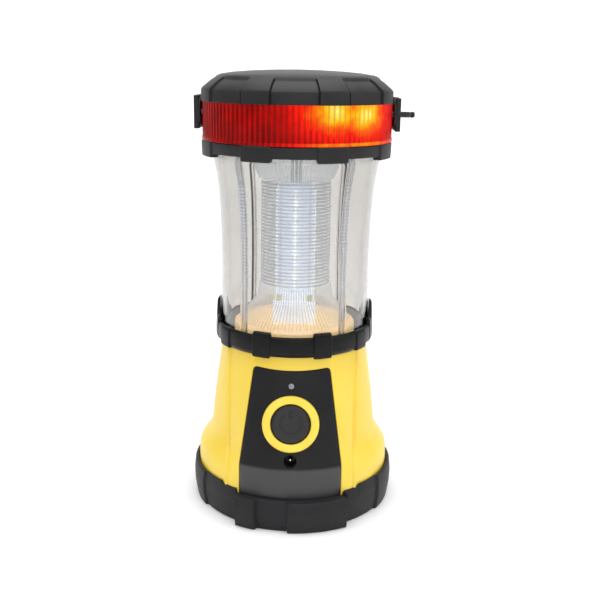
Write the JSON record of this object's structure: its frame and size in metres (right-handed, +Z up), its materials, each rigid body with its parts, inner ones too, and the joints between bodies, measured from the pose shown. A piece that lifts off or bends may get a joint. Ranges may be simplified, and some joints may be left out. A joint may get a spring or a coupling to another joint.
{
  "type": "camping lantern",
  "caption": "Battery camping lantern: clear globe over a light column, red flasher head, fold-back bail, flared yellow base with a push button on a black panel.",
  "frame": {"origin": "centre of the flat underside, on the lantern's axis", "axes": "+Z up along the axis, -Y out of the control panel (front), +X towards the threaded pivot stud"},
  "size_m": [0.1175, 0.1192, 0.2346],
  "materials": {
    "yellow_abs": "satin",
    "black_abs": "satin",
    "black_rubber": "matte",
    "grey_silicone": "matte",
    "red_acrylic": "gloss",
    "clear_acrylic": "gloss",
    "frosted_acrylic": "satin",
    "orange_reflector": "gloss",
    "white_abs": "satin",
    "aluminium": "brushed",
    "steel": "satin",
    "nickel": "gloss",
    "green_board": "satin",
    "white_board": "satin",
    "yellow_phosphor": "satin",
    "amber_epoxy": "gloss",
    "cell_wrap": "satin",
    "wire_pvc": "satin",
    "driver_black": "satin"
  },
  "bodies": {
    "lantern": {"foot_bumper": "black_rubber", "base_plate": "black_abs", "lower_shell": "yellow_abs", "control_panel": "black_abs", "button_ring": "yellow_abs", "button_dome": "grey_silicone", "switch_board": "green_board", "indicator_led": "white_abs", "dc_jack": "driver_black", "jack_pin": "nickel", "battery_tray": "black_abs", "battery_cells": "cell_wrap", "cell_links": "nickel", "battery_clamp": "black_abs", "board_bracket": "black_abs", "board_pillars": "white_abs", "main_board": "green_board", "driver_parts": "driver_black", "mid_collar": "black_abs", "collar_screws": "steel", "deck_plate": "orange_reflector", "globe": "clear_acrylic", "globe_seal_lower": "grey_silicone", "globe_seal_upper": "grey_silicone", "led_column": "aluminium", "led_base_block": "white_abs", "night_light_block": "white_abs", "led_boards": "white_board", "led_chips": "yellow_phosphor", "night_light_chips": "yellow_phosphor", "diffuser_tube": "frosted_acrylic", "lower_flared_lens": "clear_acrylic", "upper_flared_lens": "clear_acrylic", "column_wires": "wire_pvc", "head_collar": "black_abs", "red_lens": "red_acrylic", "flasher_reflector": "nickel", "flasher_board": "green_board", "flasher_leds": "amber_epoxy", "top_cap": "black_abs", "head_screws": "steel", "board_screws": "steel", "base_screws": "steel", "pivot_pin_left": "steel", "pivot_stud_right": "steel", "stud_tip": "black_rubber", "pivot_nut_left": "steel", "pivot_nut_right": "steel", "pivot_washer_left": "white_abs", "pivot_washer_right": "white_abs"},
    "handle": {"carry_handle": "black_abs"},
    "button": {"power_button": "black_rubber"}
  },
  "joints": [
    {"name": "handle_swing", "type": "hinge", "parent": "lantern", "child": "handle", "pos_m": [0, 0, 0.2125], "axis": [1, 0, 0], "range_deg": [0, 180]},
    {"name": "button_press", "type": "slide", "parent": "lantern", "child": "button", "axis": [0, 0.9802, -0.1979], "range_m": [0, 0.0012], "stiffness_N_per_m": 1500, "deforming": ["button_dome"]}
  ]
}
